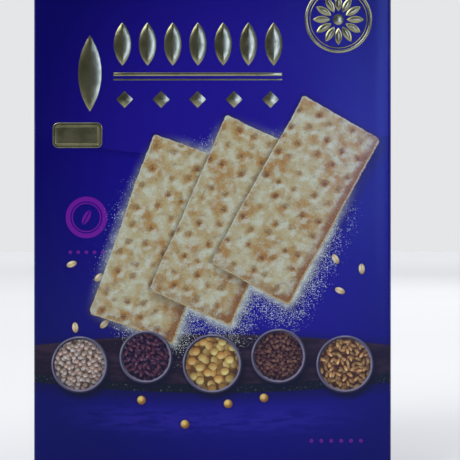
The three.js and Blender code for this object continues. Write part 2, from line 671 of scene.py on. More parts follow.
class Amount:
    """A number that varies over a surface. Arithmetic on it adds nodes to its tree."""

    def __init__(self, tree: Tree, source: bpy.types.NodeSocket) -> None:
        """Takes over a node's output."""
        self.tree = tree
        self.source = source

    def __add__(self, other: Number) -> "Amount":
        """The sum."""
        return self.tree.math("ADD", self, other)

    def __sub__(self, other: Number) -> "Amount":
        """The difference."""
        return self.tree.math("SUBTRACT", self, other)

    def __rsub__(self, other: Number) -> "Amount":
        """The difference, the other way round."""
        return self.tree.math("SUBTRACT", other, self)

    def __mul__(self, other: Number) -> "Amount":
        """The product."""
        return self.tree.math("MULTIPLY", self, other)

    __radd__ = __add__
    __rmul__ = __mul__

    def size(self) -> "Amount":
        """The number without its sign."""
        return self.tree.math("ABSOLUTE", self)

    def least(self, other: Number) -> "Amount":
        """The smaller of the two."""
        return self.tree.math("MINIMUM", self, other)

    def most(self, other: Number) -> "Amount":
        """The larger of the two."""
        return self.tree.math("MAXIMUM", self, other)

    def root(self) -> "Amount":
        """The square root."""
        return self.tree.math("SQRT", self)

    def to_nearest(self, pitch: float) -> "Amount":
        """The distance to the nearest multiple of a pitch."""
        return self.tree.math("PINGPONG", self, pitch / 2)

    def step(self, start: float, end: float) -> "Amount":
        """A smooth step, whose end may lie above or below its start.

        Args:
            start: Where it is 0.
            end: Where it is 1.

        Returns:
            The step.
        """
        low, high, first, last = (start, end, 0.0, 1.0) if start < end else (end, start, 1.0, 0.0)
        return self.tree.amount("MapRange", {"Value": self, "From Min": low, "From Max": high,
                                             "To Min": first, "To Max": last},
                                interpolation_type="SMOOTHSTEP")

    def inside(self, soft: float = 0.12) -> "Amount":
        """1 where a distance is negative and 0 where it isn't, with a soft edge."""
        return self.step(soft, -soft)


class Spot:
    """A place in millimetres, with its parts as numbers."""

    def __init__(self, tree: Tree, source: bpy.types.NodeSocket) -> None:
        """Takes over a node's output.

        Args:
            tree: The node's tree.
            source: The output.
        """
        self.tree = tree
        self.source = source
        parts = tree.add("SeparateXYZ", {0: source}).outputs
        self.x, self.y, self.z = (Amount(tree, part) for part in parts)

    def through(self, kind: str, fed: Fed, **settings: object) -> "Spot":
        """The place that a node makes of this one."""
        return Spot(self.tree, self.tree.add(kind, {0: self, **fed}, **settings).outputs[0])

    def seen_from(self, x: float, y: float, degrees: float = 0, stretch: Pair = (1, 1)) -> "Spot":
        """The same place in a frame with its own middle, turn and millimetres to a unit."""
        return self.through("Mapping", {"Location": (x, y, 0), "Rotation": (0, 0, math.radians(degrees)),
                                        "Scale": (*stretch, 1)}, vector_type="TEXTURE")

    def from_spot(self, other: Union["Spot", Point]) -> "Spot":
        """The same place as seen from another one."""
        return self.through("VectorMath", {1: other}, operation="SUBTRACT")

    def turned(self, angle: Amount) -> "Spot":
        """The same place in a frame that is turned by an angle in radians."""
        return self.through("VectorRotate", {"Angle": angle}, rotation_type="Z_AXIS")

    def scaled(self, factor: Number) -> "Spot":
        """The same place with its distances multiplied."""
        return self.through("VectorMath", {"Scale": factor}, operation="SCALE")

    def or_else(self, other: "Spot", share: Amount) -> "Spot":
        """This place, or another one where the share is 1."""
        node = self.tree.add("Mix", {0: share, 4: self, 5: other}, data_type="VECTOR")
        return Spot(self.tree, node.outputs[1])

    def from_middle(self) -> Amount:
        """The distance to the frame's middle."""
        node = self.tree.add("VectorMath", {0: self}, operation="LENGTH")
        return Amount(self.tree, node.outputs["Value"])

    def from_oblong(self, half_x: float, half_y: float, corner: float) -> Amount:
        """The distance to an oblong with round corners.

        Args:
            half_x: Half its width.
            half_y: Half its height.
            corner: The radius of its corners.

        Returns:
            The distance, which is negative inside.
        """
        quarter = self.through("VectorMath", {}, operation="ABSOLUTE")
        over = quarter.from_spot((half_x - corner, half_y - corner, 0))
        beyond = over.through("VectorMath", {}, operation="MAXIMUM").from_middle()
        return beyond + over.x.most(over.y).least(0.0) - corner

    def noise(self, grain: float, detail: float = 3, rough: float = 0.55) -> Amount:
        """Noise about 0.5, of clouds of one size with some finer layers of some strength."""
        return self.tree.amount("TexNoise", {"Vector": self, "Scale": 1 / grain, "Detail": detail,
                                             "Roughness": rough}, noise_dimensions="3D")

    def cells(self, pitch: float, scatter: float = 1.0) -> "Cells":
        """Cells of one size, whose middles lie more or less far from a regular grid.

        Args:
            pitch: The size of a cell.
            scatter: How far their middles lie from the grid, from 0 to 1.

        Returns:
            The cells' values.
        """
        found = {}
        for feature in ("F1", "DISTANCE_TO_EDGE"):
            found[feature] = self.tree.add(
                "TexVoronoi", {"Vector": self, "Scale": 1 / pitch, "Randomness": scatter},
                voronoi_dimensions="2D", feature=feature).outputs
        near = found["F1"]
        return Cells(Amount(self.tree, near["Distance"]), *self.tree.parts(near["Color"]),
                     Spot(self.tree, near["Position"]),
                     Amount(self.tree, found["DISTANCE_TO_EDGE"]["Distance"]))


class Cells(NamedTuple):
    """What a pattern of scattered cells gives at a place."""

    distance: Amount  # to the nearest middle, in pitches
    draw: Amount  # a number from 0 to 1 for each cell
    second: Amount  # another one
    third: Amount  # and one more
    middle: Spot  # the place of the nearest middle
    seam: Amount  # the distance to the line between two cells, in pitches


class Coat:
    """A colour in the making: each ink is laid over the ones before it."""

    def __init__(self, tree: Tree, source: Ink) -> None:
        """Starts with one ink all over."""
        self.tree = tree
        self.source = source

    def lay(self, ink: Ink, share: Number) -> None:
        """Lays an ink over the rest, which it covers where the share is 1."""
        self.source = self.tree.mix(self, ink, share)


class Press(Tree):
    """Prints on one material, from the surface's place on."""

    def __init__(self, name: str) -> None:
        """Starts a material.

        Args:
            name: Its name.
        """
        self.material = bpy.data.materials.new(name)
        self.material.use_nodes = True
        super().__init__(self.material.node_tree)
        self.shader = self.add("BsdfPrincipled", {})
        self.add("OutputMaterial", {"Surface": self.shader.outputs["BSDF"]})
        where = self.add("TexCoord", {}).outputs["Object"]
        self.place = Spot(self, self.add("Mapping", {"Vector": where, "Scale": (1 / MM,) * 3}).outputs[0])

    def bump(self, height: Amount, depth: float) -> None:
        """Feeds a fine relief to the shader, where a height of 1 stands for a depth in millimetres."""
        node = self.add("Bump", {"Distance": depth * MM, "Height": height})
        self.join(node.outputs["Normal"], self.shader.inputs["Normal"])

    def set(self, **values: Feed) -> None:
        """Sets or feeds the shader's inputs, named in lower case with underscores."""
        for name, value in values.items():
            self.join(value, self.shader.inputs[name.replace("_", " ").title().replace("Ior", "IOR")])


FACE_HALF = 80.0  # half the front's width, to which the print's bows and bands run


class Motif(ABC):
    """One thing in the print of a side. Its places run from the middle of the side's foot."""

    @abstractmethod
    def paint(self, spot: Spot, coat: Coat) -> None:
        """Prints the motif over what is there.

        Args:
            spot: The place on the side.
            coat: The colour so far.
        """


class PlainMotif(Motif):
    """A motif in one flat ink."""

    colour: Tint
    strength: float = 1.0

    @abstractmethod
    def _gap(self, spot: Spot) -> Amount:
        """The distance to its edge, which is negative inside."""

    def paint(self, spot: Spot, coat: Coat) -> None:
        """Prints the motif's ink over what is there."""
        coat.lay(self.colour, self._gap(spot).inside() * self.strength)


@dataclass(frozen=True)
class CrackerRow(Motif):
    """Pictured oblong crackers, each partly over the one before, with flour dusted round them."""

    places: tuple[Point, ...]  # middle and lean of each, from the lowest up
    half_width: float = 19.5
    half_length: float = 42.0
    corner: float = 1.2
    thickness: float = 0.8
    fall: Pair = (2.0, -3.0)  # from a cracker to its shadow
    apart: Pair = (47.3, 31.7)  # from one cracker's part of the crumb's pattern to the next one's
    flour: Point = (10, 95, 71)  # middle and reach of the dusting
    blister: float = 4.4
    hole_pitch: float = 8.2
    toast: float = 11.0  # the size of the areas that are baked more or less
    crumb: float = 0.7
    light: Tint = tint(165, 161, 131)
    cream: Tint = tint(160, 148, 106)
    tan: Tint = tint(149, 125, 78)
    amber: Tint = tint(150, 111, 54)
    brown: Tint = tint(120, 80, 38)
    pit: Tint = tint(98, 58, 34)
    gleam: Tint = tint(178, 188, 174)
    gloom: Tint = tint(98, 68, 40)
    dust: Tint = tint(186, 196, 186)
    shadow: Tint = tint(30, 17, 26)

    def _gap(self, own: Spot, rounder: float = 0.0) -> Amount:
        """The distance to a cracker's edge, negative inside, with its corners so much rounder."""
        return own.from_oblong(self.half_width, self.half_length, self.corner + rounder)

    def _relief(self, grain: Spot) -> tuple[Amount, Amount, Cells]:
        """The blisters and docking holes.

        Args:
            grain: The place in the crumb's pattern.

        Returns:
            The height, the blisters alone, and the docking holes' cells.
        """
        blister = grain.noise(self.blister, detail=2, rough=0.45)
        holes = grain.cells(self.hole_pitch, scatter=0.55)
        return blister * 0.8 + holes.distance.step(0.0, 0.36) * 0.34, blister, holes

    def _face(self, own: Spot, grain: Spot, gap: Amount) -> Coat:
        """The colour of a cracker's face.

        Args:
            own: The place as seen from the cracker's middle.
            grain: The place in the crumb's pattern, which differs from one cracker to the next.
            gap: The distance to its edge.

        Returns:
            The colour.
        """
        height, blister, holes = self._relief(grain)
        lit = height - self._relief(grain.seen_from(1.0, -0.8))[0]
        fine = grain.noise(self.crumb, detail=2, rough=0.7)
        lit = lit + fine * 0.06 - 0.03
        toast = grain.noise(self.toast, rough=0.6)
        heat = toast * 0.56 + blister * 0.32 + fine * 0.12
        face = Coat(own.tree, self.light)
        for ink, start, end, share in ((self.cream, 0.38, 0.52, 1.0), (self.tan, 0.46, 0.57, 0.8),
                                       (self.amber, 0.52, 0.60, 0.7), (self.brown, 0.58, 0.67, 0.6)):
            face.lay(ink, heat.step(start, end) * share)
        # the docking holes: a toasted bowl round a dark core
        baked = (toast + holes.draw * 0.24 - 0.12).step(0.42, 0.62)
        bowl = (holes.distance + fine * 0.26 - holes.second * 0.14).step(0.42, 0.06)
        face.lay(self.amber, bowl * (baked * 0.6 + 0.35))
        core = (holes.distance + fine * 0.16 - holes.draw * 0.06).step(0.22, 0.06)
        face.lay(self.pit, core * (baked * 0.45 + 0.4))
        # the rim browns most at the right and at the foot
        rim = (gap - toast * 3.0 + fine * 1.6 - blister * 1.4).step(-6.6, -2.8)
        hotter = own.x.step(6, 17) * 0.6 + own.y.step(-34, -41) * 0.4
        face.lay(self.brown, rim * (hotter + 0.10))
        # flour in the hollows, and light on the blisters' upper left
        bloom = grain.seen_from(31, 17).noise(4.6, detail=2, rough=0.5)
        pale = (bloom - heat * 0.35 - bowl * 0.2).step(0.24, 0.52)
        face.lay(self.gleam, pale * (fine * 0.9 + 0.1))
        face.lay(self.gleam, lit.step(0.03, 0.22) * 0.55)
        crust = (gap + toast * 7.0 + blister * 2.4 + fine * 1.2 - 4.2).step(-2.4, 0.6)
        face.lay(self.brown, crust * own.x.step(10, 17) * 0.9)
        face.lay(self.gloom, lit.step(-0.02, -0.22) * 0.5)
        face.lay(self.gleam, fine.step(0.54, 0.70) * 0.35)
        face.lay(self.gloom, fine.step(0.47, 0.30) * 0.28)
        return face

    def _dust(self, spot: Spot, away: Amount, coat: Coat) -> None:
        """Dusts flour round the crackers: a haze beside them, and specks further out.

        Args:
            spot: The place on the panel.
            away: The distance to the nearest cracker.
            coat: The colour so far.
        """
        x, y, reach = self.flour
        near = spot.seen_from(x, y).from_middle().step(reach, reach * 0.45)
        cloud = spot.noise(7.0).step(0.28, 0.68)
        dense = away.step(17, -1) * near * (cloud * 0.75 + 0.25)
        haze = away.step(4.6, -0.3) * near * (cloud * 0.6 + 0.55)
        coat.lay(self.dust, haze * 0.9)
        for pitch, share in ((0.5, 1.5), (0.85, 0.6)):
            specks = spot.cells(pitch)
            grain = (specks.distance - specks.second * 0.16).step(0.26, 0.10)
            shown = (dense * share - specks.draw).step(0, 0.15)
            coat.lay(self.dust, grain * shown * 0.85)

    def paint(self, spot: Spot, coat: Coat) -> None:
        """Prints the crackers, their shadows and the flour over what is there.

        Args:
            spot: The place on the panel.
            coat: The colour so far.
        """
        tree = spot.tree
        owns = [spot.seen_from(*place) for place in self.places]
        gaps = [self._gap(own) for own in owns]
        away = gaps[0]
        for gap in gaps[1:]:
            away = away.least(gap)
        ragged = spot.noise(2.6, detail=2) * 0.8 + spot.noise(30, detail=0) * 1.6 - 1.2
        shade, cover, wall, index = 0.0, 0.0, 0.0, 0.0
        chosen, chosen_gap = owns[0], gaps[0]
        for number, ((x, y, lean), own, sharp) in enumerate(zip(self.places, owns, gaps)):
            gap = sharp + ragged
            under = self._gap(own.seen_from(self.thickness, -self.thickness)) + ragged
            mask = under.least(gap).inside()
            fallen = spot.seen_from(x + self.fall[0], y + self.fall[1], lean)
            soft = self._gap(fallen, rounder=1.6).step(5.0, -4.0)
            soft = soft.most(gap.step(2.6, -0.4) * 0.75)
            chosen = chosen.or_else(own, mask)
            chosen_gap = tree.blend(chosen_gap, gap, mask)
            cover = mask.most(cover)
            shade = soft.most(shade) * (1.0 - mask)
            wall = tree.blend(wall, gap.step(-0.1, 0.25), mask)
            index = tree.blend(index, float(number), mask)
        coat.lay(self.shadow, shade * 0.7)
        self._dust(spot, away, coat)

        grain = tree.spot(chosen.x + index * self.apart[0], chosen.y + index * self.apart[1])
        face = self._face(chosen, grain, chosen_gap)
        face.lay(tree.mix(self.tan, self.light, spot.noise(0.8, detail=2).step(0.38, 0.62)), wall)
        pale = chosen_gap.step(-0.9, -0.2) * (chosen.y - chosen.x * 2.0).step(-8, 20)
        face.lay(self.gleam, pale * spot.noise(1.7, detail=2).step(0.3, 0.6) * 0.6)
        face.lay(self.shadow, shade * 0.7)
        coat.lay(face, cover)


@dataclass(frozen=True)
class Grain:
    """One kind of grain: the size and slimness of its kernels, and its colours from shade to light."""

    length: float
    slim: float  # how many times longer than wide a kernel is
    dark: Tint
    middle: Tint
    light: Tint
    odd: Tint  # the colour of some of its kernels
    room: float = 1.0  # how far apart its kernels lie, where at 1 they press together


@dataclass(frozen=True)
class DishRow(Motif):
    """Pictured round dishes from above, side by side, each full of another grain."""

    grains: tuple[Grain, ...]
    pitch: float
    y: float
    swing: tuple[float, ...]  # how far each stands above the row's line
    radii: tuple[float, ...]
    stoneware: Tint = tint(40, 34, 48)
    glazed: Tint = tint(116, 112, 132)
    shadow: Tint = tint(10, 7, 24)
    hollow: Tint = (0.002, 0.001, 0.002)
    layers: tuple[Pair, ...] = ((12, 0.62), (77, 0.30), (140, 0.0))  # of kernels: their turn, and shade

    def _places(self) -> list[float]:
        """The middles of the dishes along the row."""
        return [(i - (len(self.grains) - 1) / 2) * self.pitch for i in range(len(self.grains))]

    def _of_each(self, along: Amount, values: Sequence[Tint]) -> bpy.types.NodeSocket:
        """Takes one of several values, by which dish is nearest.

        Args:
            along: The place along the row.
            values: Each dish's value.

        Returns:
            The nearest dish's value, as a colour.
        """
        node = along.tree.add("ValToRGB", {"Fac": along * (0.5 / FACE_HALF) + 0.5})
        node.color_ramp.interpolation = "CONSTANT"
        stops = node.color_ramp.elements
        stops.remove(stops[1])
        stops[0].color = (*values[0], 1)
        for place, value in zip(self._places()[1:], values[1:]):
            stops.new((place - self.pitch / 2) / (2 * FACE_HALF) + 0.5).color = (*value, 1)
        return node.outputs["Color"]

    def _kernels(self, at: Spot, slim: Amount, room: Amount) -> tuple[Amount, Amount, Amount, Amount]:
        """One layer of kernels that lie every way.

        Args:
            at: The place, in lengths of a kernel.
            slim: How many times longer than wide they are.
            room: How far apart they lie.

        Returns:
            Where they cover, how far they face the light, and two numbers drawn for each.
        """
        cells = at.cells(1.0, scatter=0.62)
        lie = at.from_spot(cells.middle).scaled(room)
        own = lie.turned(cells.draw * math.tau)
        across = own.x * slim
        length = (across * across + own.y * own.y).root()
        facing = lie.y - lie.x - length.step(0.22, 0.52) * 0.3 - cells.seam.step(0.12, 0.0) * 0.42
        return length.step(0.53, 0.46), facing, cells.second, cells.third

    def _heap(self, own: Spot, along: Amount) -> Coat:
        """The grain in a dish.

        Args:
            own: The place as seen from the dish's middle.
            along: The place along the row.

        Returns:
            The colour.
        """
        scale, slim, room = own.tree.parts(self._of_each(along, [
            (1 / (0.95 * grain.length * grain.room), grain.slim, grain.room) for grain in self.grains]))
        dark, middle, light, odd = (
            self._of_each(along, [getattr(grain, name) for grain in self.grains])
            for name in ("dark", "middle", "light", "odd"))
        heap = Coat(own.tree, dark)
        heap.lay((0.0, 0.0, 0.0), 0.35)
        for degrees, depth in self.layers:
            at = own.seen_from(degrees * 0.37, degrees * 0.91, degrees).scaled(scale)
            cover, lit, draw, strange = self._kernels(at, slim, room)
            kernel = Coat(own.tree, dark)
            kernel.lay(own.tree.mix(middle, odd, strange.step(0.45, 0.8)), lit.step(-0.95, -0.05))
            kernel.lay(light, lit.step(-0.12, 0.34) * (0.9 - strange * 0.45))
            kernel.lay(dark, draw * 0.35 + depth)
            heap.lay(kernel, cover)
        return heap

    def paint(self, spot: Spot, coat: Coat) -> None:
        """Prints the dishes, their shadows and their grain over what is there.

        Args:
            spot: The place on the panel.
            coat: The colour so far.
        """
        tree = spot.tree
        across, up, radius = tree.parts(self._of_each(spot.x, [
            (place + FACE_HALF, self.y + rise, size)
            for place, rise, size in zip(self._places(), self.swing, self.radii)]))
        own = tree.spot(spot.x - across + FACE_HALF, spot.y - up)
        coat.lay(self.shadow, (own.seen_from(1.0, -2.0).from_middle() - radius).step(2.6, -1.6) * 0.85)
        gap = own.from_middle() - radius
        # the glazed rim is lit from the upper left, and its inner edge from the other way
        lit = (own.y - own.x).step(-13, 13)
        glint = (own.y * 1.25 - own.x - 15.5).size().step(3.2, 0.0)
        rim = Coat(tree, self.stoneware)
        rim.lay(self.glazed, lit * 0.7 + glint * 0.5)
        rim.lay(tree.mix(self.glazed, self.stoneware, lit), gap.step(-0.55, -0.8))
        coat.lay(rim, gap.inside(0.1))
        heap = Coat(tree, self.hollow)
        inside = (own.seen_from(-0.6, 0.7).from_middle() - radius).step(-0.6, -4.4)
        heap.lay(self._heap(own, spot.x), inside * 0.55 + 0.45)
        coat.lay(heap, (gap + own.noise(1.6, detail=1) * 0.9).step(-0.85, -1.1))


@dataclass(frozen=True)
class Seeds(Motif):
    """A few pictured seeds strewn over an oval area."""

    middle: Pair
    reach: float
    squash: float = 1.0  # the area's height as a share of its width
    pitch: float = 22.0
    share: float = 0.5
    length: float = 2.3
    slim: float = 1.75
    crease: float = 0.0  # how strongly a line along its middle shows
    shade: Tint = tint(146, 122, 84)
    light: Tint = tint(208, 196, 158)
    shadow: Tint = tint(10, 6, 50)

    def paint(self, spot: Spot, coat: Coat) -> None:
        """Prints the seeds over what is there.

        Args:
            spot: The place on the panel.
            coat: The colour so far.
        """
        cells = spot.cells(self.pitch, scatter=0.8)
        lie = spot.from_spot(cells.middle)
        own = lie.turned(cells.second * math.tau)
        across = own.x * self.slim
        gap = (across * across + own.y * own.y).root() - self.length
        area = cells.middle.seen_from(*self.middle, 0, (1, self.squash)).from_middle()
        there = area.step(self.reach, self.reach - 0.1) * cells.draw.step(self.share, self.share - 0.01)
        coat.lay(self.shadow, (gap - 0.5).step(0.9, -0.6) * there * 0.5)
        lamp = lie.seen_from(-0.3 * self.length / self.slim, 0.35 * self.length / self.slim)
        seed = Coat(spot.tree, self.shade)
        seed.lay(self.light, lamp.from_middle().step(self.length * 1.15, self.length * 0.1))
        seed.lay(self.shade, own.x.size().step(0.34, 0.06) * self.crease)
        coat.lay(seed, gap.inside() * there)


@dataclass(frozen=True)
class Band(Motif):
    """A pictured band of dark stone, bowed at both edges, on which the dishes stand."""

    top: float
    bottom: float
    bow: float = 5.0
    edge: float = 3.6  # how much of its broken lower edge shows
    dark: Tint = tint(26, 15, 26)
    light: Tint = tint(47, 32, 45)
    broken: Tint = tint(15, 16, 24)
    fleck: Tint = tint(104, 108, 122)
    mirrored: Tint = tint(46, 36, 150)
    shadow: Tint = tint(12, 7, 50)

    def paint(self, spot: Spot, coat: Coat) -> None:
        """Prints the band over what is there.

        Args:
            spot: The place on the panel.
            coat: The colour so far.
        """
        side = spot.x * (1 / FACE_HALF)
        bowed = side * side * self.bow
        over = spot.y - self.top + bowed
        under = self.bottom - spot.y + bowed
        # below it, the polished ground mirrors light in streaks, and its shadow falls
        streaks = spot.seen_from(0, 0, 0, (5.0, 1.0)).noise(2.2, detail=2)
        gloss = (under - 9.0 - streaks * 6.0).size().step(9.0, 1.0) * side.size().step(1.0, 0.3)
        coat.lay(self.mirrored, gloss * streaks.step(0.3, 0.6) * 0.4)
        coat.lay(self.shadow, over.most(under - 2.5).step(4.5, -3.0) * 0.75)
        streak = spot.seen_from(0, 0, 0, (3.4, 1.0)).noise(5.0, detail=5, rough=0.62)
        stone = Coat(spot.tree, self.dark)
        stone.lay(self.light, streak.step(0.40, 0.66))
        stone.lay(self.light, over.step(-2.2, -0.2) * 0.5)
        chips = spot.noise(1.3, detail=4, rough=0.7)
        stone.lay(self.broken, (under + chips * 1.4).step(-self.edge, -self.edge + 0.6))
        stone.lay(self.fleck, chips.step(0.58, 0.68) * under.step(-self.edge, -self.edge + 1.0) * 0.75)
        coat.lay(stone, (over.most(under) + chips * 0.8 - 0.4).inside(0.15))


@dataclass(frozen=True)
class Valance(Motif):
    """A brighter field that hangs from the top of a panel to a shallow bow, with a soft edge shadow, fading
    towards the corners partly as painted vignette shade.
    """

    height: float
    bow: float
    glow: Point = (20, 150, 130)  # middle of its brightest part, and the reach of that
    colour: Tint = tint(28, 17, 122)
    shadow: Tint = tint(10, 5, 80)

    def paint(self, spot: Spot, coat: Coat) -> None:
        """Prints the field over what is there.

        Args:
            spot: The place on the panel.
            coat: The colour so far.
        """
        side = spot.x * (1 / FACE_HALF)
        edge = spot.y - self.height - side * side * self.bow
        coat.lay(self.shadow, edge.step(-4.0, 0.2) * 0.55)
        # the field fades away from its brightest part: printed, and partly painted vignette shade towards
        # the corners
        x, y, reach = self.glow
        fade = spot.seen_from(x, y).from_middle().step(reach, reach * 0.25)
        coat.lay(self.colour, edge.step(-0.12, 0.12) * fade)


@dataclass(frozen=True)
class Ring(PlainMotif):
    """A plain printed ring with a thin ring and one leaning kernel in it."""

    x: float
    y: float
    radius: float
    colour: Tint = tint(100, 22, 134)
    strength: float = 0.9

    def _gap(self, spot: Spot) -> Amount:
        """The distance to the printed shapes.

        Args:
            spot: The place on the panel.

        Returns:
            The distance, which is negative inside.
        """
        own = spot.seen_from(self.x, self.y, -28)
        away = own.from_middle()
        outer = (away - self.radius * 0.88).size() - self.radius * 0.11
        inner = (away - self.radius * 0.68).size() - self.radius * 0.03
        # the kernel is where two discs overlap, but for a crease along its middle
        sunk, bulge = self.radius * 0.471, self.radius * 0.631
        kernel = spot.tree.spot(own.x.size() + sunk, own.y).from_middle() - bulge
        crease = self.radius * 0.03 - own.x.size()
        return outer.least(inner).least(kernel.most(crease))


class Mark(Enum):
    """The shape of the small marks in a row."""

    DOT = "dot"
    DIAMOND = "diamond"


@dataclass(frozen=True)
class Marks(PlainMotif):
    """A level row of plain marks."""

    x: float
    y: float
    count: int
    pitch: float
    radius: float
    shape: Mark = Mark.DOT
    colour: Tint = tint(88, 24, 124)

    def _gap(self, spot: Spot) -> Amount:
        """The distance to the nearest mark.

        Args:
            spot: The place on the panel.

        Returns:
            The distance, which is negative inside.
        """
        own = spot.seen_from(self.x, self.y)
        near = (own.x + (0.0 if self.count % 2 else self.pitch / 2)).to_nearest(self.pitch)
        if self.shape is Mark.DOT:
            gap = (near * near + own.y * own.y).root()
        else:
            gap = near + own.y.size()
        return (gap - self.radius).most(own.x.size() - self.count * self.pitch / 2)


@dataclass(frozen=True)
class Plate(PlainMotif):
    """A plain oblong with round corners: filled, or outlined and ruled with level lines."""

    x: float
    y: float
    half_x: float
    half_y: float
    colour: Tint = tint(150, 150, 178)
    strength: float = 1.0
    ruled: float = 0.0  # the pitch of its lines, or 0 where it is filled
    corner: float = 2.0
    margin: float = 2.2  # from its outline to its lines
    line: float = 0.09  # half a line's thickness

    def _gap(self, spot: Spot) -> Amount:
        """The distance to what is printed of the oblong.

        Args:
            spot: The place on the panel.

        Returns:
            The distance, which is negative inside.
        """
        own = spot.seen_from(self.x, self.y)
        gap = own.from_oblong(self.half_x, self.half_y, self.corner)
        if not self.ruled:
            return gap
        lines = (own.y.to_nearest(self.ruled) - self.line).most(gap + self.margin)
        return lines.least((gap + 0.3).size() - 0.22)


@dataclass(frozen=True)
class Artwork:
    """The print of one side: the ground's glow, which darkens outwards partly as painted vignette shade,
    and the motifs on it, from the lowest to the topmost.
    """

    side: Side
    glow: Pair
    motifs: tuple[Motif, ...] = ()


@dataclass(frozen=True)
class PrintedBoard:
    """Varnished four-colour print on coated board."""

    size: CartonSize
    glow_reach: Pair = (88, 118)
    deep: Tint = tint(7, 3, 81)
    bright: Tint = tint(25, 14, 126)
    pulp: Tint = tint(60, 58, 80)  # the board's tooth, faintly through the ink
    worn: Tint = tint(150, 148, 176)
    gloss: Tint = (0.38, 0.54, 1.0)

    # each side's own right and up, as the carton's axes
    AXES = {
        Side.FRONT: (("x", 1), ("z", 1)), Side.BACK: (("x", -1), ("z", 1)),
        Side.LEFT: (("y", -1), ("z", 1)), Side.RIGHT: (("y", 1), ("z", 1)),
        Side.TOP: (("x", 1), ("y", 1)), Side.BOTTOM: (("x", 1), ("y", -1)),
    }

    def _fold_wear(self, place: Spot) -> Amount:
        """How worn the ink is: rubbed along the folds and most at the corners.

        Args:
            place: The surface's place.

        Returns:
            The wear, from 0 to 1.
        """
        size = self.size
        to_side = size.half_width - place.x.size()
        to_face = size.half_depth - place.y.size()
        to_end = size.height / 2 - (place.z - size.height / 2).size()
        # an edge is near where two of the three distances are small
        near = to_side.most(to_face).least(to_end.most(to_side.least(to_face)))
        rub = place.noise(0.5, rough=0.6)
        patchy = place.noise(24.0)
        return (near - patchy * 1.4 + 0.45).step(0.35, -0.25) * rub.step(0.42, 0.62) * patchy.step(0.3, 0.6)

    def make(self, art: Artwork) -> bpy.types.Material:
        """Prints one side.

        Args:
            art: Its artwork.

        Returns:
            The material.
        """
        press = Press(f"print_{art.side.name.lower()}")
        place = press.place
        spot = press.spot(*(getattr(place, axis) * sign for axis, sign in self.AXES[art.side]))
        coat = Coat(press, self.bright)
        # the ground darkens away from the glow's middle: a printed gradient, and painted vignette shade
        # towards the corners
        coat.lay(self.deep, spot.seen_from(*art.glow, 0, self.glow_reach).from_middle().step(0.25, 1.25))
        for motif in art.motifs:
            motif.paint(spot, coat)
        tooth = place.noise(0.35, detail=2)
        coat.lay(self.pulp, tooth.step(0.55, 0.8) * 0.10)
        wear = self._fold_wear(place)
        coat.lay(self.worn, wear * 0.55)
        smear = place.noise(26.0, detail=2)
        press.set(base_color=coat, roughness=smear * 0.06 + 0.17 + wear * 0.3, specular_ior_level=0.27,
                  specular_tint=self.gloss)
        press.bump(tooth * 0.4 + place.noise(2.6, detail=2) * 0.6, 0.035)
        return press.material


@dataclass(frozen=True)
class RawBoard:
    """The grey-white pulp of cut edges and of the board's inside."""

    pale: Tint = tint(196, 192, 184)
    grey: Tint = tint(150, 144, 134)

    def make(self) -> bpy.types.Material:
        """Makes the material.

        Returns:
            The material.
        """
        press = Press("raw_board")
        fibre = press.place.noise(0.5, detail=4, rough=0.7)
        press.set(base_color=press.mix(self.grey, self.pale, fibre.step(0.35, 0.62)),
                  roughness=fibre * 0.1 + 0.82, specular_ior_level=0.2)
        press.bump(fibre, 0.05)
        return press.material


@dataclass(frozen=True)
class GoldFoil:
    """Hot-stamped pale gold foil, a little uneven where the board's tooth shows through."""

    colour: Tint = tint(146, 144, 112)
    shade: Tint = tint(116, 116, 86)

    def make(self) -> bpy.types.Material:
        """Makes the material.

        Returns:
            The material.
        """
        press = Press("gold_foil")
        cloud = press.place.noise(6.0)
        tooth = press.place.noise(0.5)
        press.set(base_color=press.mix(self.shade, self.colour, cloud.step(0.3, 0.6)), metallic=1.0,
                  roughness=tooth * 0.08 + 0.19)
        press.bump(tooth * 0.3 + cloud * 0.6, 0.04)
        return press.material


